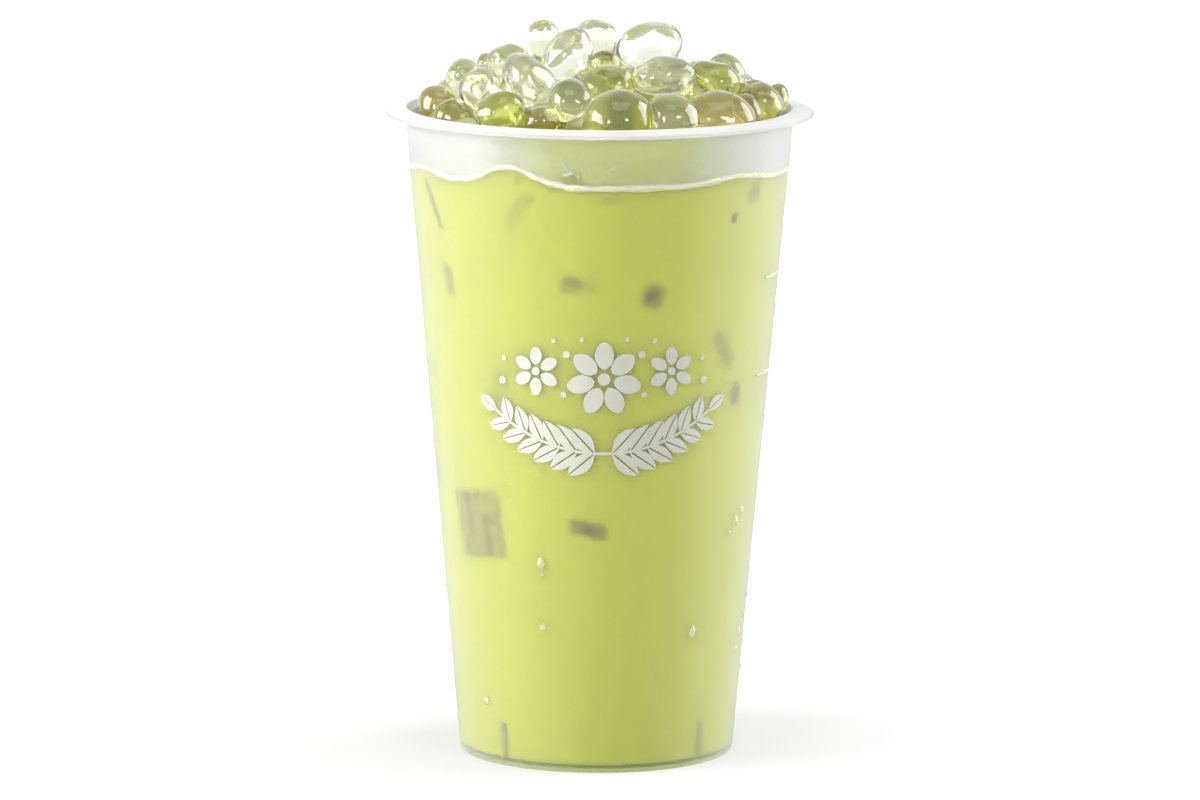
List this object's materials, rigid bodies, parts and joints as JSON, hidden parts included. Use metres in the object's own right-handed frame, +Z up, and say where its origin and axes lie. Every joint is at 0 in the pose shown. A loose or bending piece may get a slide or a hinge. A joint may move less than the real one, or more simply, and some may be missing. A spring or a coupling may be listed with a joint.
{
  "type": "cup of honeydew milk tea",
  "caption": "Tall tapered frosted plastic cup with a lid flange, filled with pale green milk tea and heaped with clear jelly pearls above the rim; it stands on its foot ring.",
  "frame": {"origin": "middle of the foot ring, on the surface the cup stands on", "axes": "+Z up along the cup's axis; -Y is the front, and +X is to the right seen from the front"},
  "size_m": [0.095, 0.095, 0.1649],
  "materials": {
    "frosted_plastic": "frosted",
    "milk_tea": "opaque milky liquid",
    "jelly_pearl": "wet clear jelly"
  },
  "bodies": {
    "root": {"cup": "frosted_plastic", "milk_tea": "milk_tea", "pearl_heap": "jelly_pearl"}
  },
  "joints": []
}
